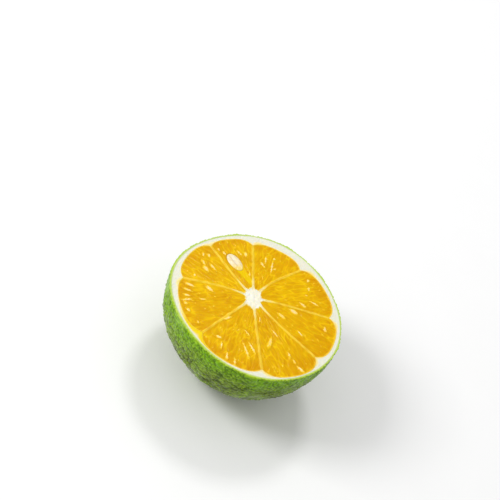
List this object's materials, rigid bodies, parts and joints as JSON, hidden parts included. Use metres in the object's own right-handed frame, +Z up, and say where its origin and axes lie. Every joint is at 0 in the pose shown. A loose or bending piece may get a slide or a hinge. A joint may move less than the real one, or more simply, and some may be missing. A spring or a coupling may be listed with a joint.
{
  "type": "mandarin lime half",
  "caption": "Cut half of a mandarin lime: green pitted peel, orange pulp segments round a white core, a sliced seed, resting on a small flat spot.",
  "frame": {"origin": "middle of the small flat spot that the half rests on, under the middle of the cut face", "axes": "+Z up along the fruit's axis, through the level cut face; the seed lies towards -X and +Y"},
  "size_m": [0.0584, 0.0584, 0.0293],
  "materials": {
    "rind": "satin",
    "pulp": "gloss",
    "pith": "matte",
    "seed_coat": "satin"
  },
  "bodies": {
    "root": {"peel": "rind", "segment_1": "pulp", "segment_2": "pulp", "segment_3": "pulp", "segment_4": "pulp", "segment_5": "pulp", "segment_6": "pulp", "segment_7": "pulp", "segment_8": "pulp", "core": "pith", "seed": "seed_coat"}
  },
  "joints": []
}
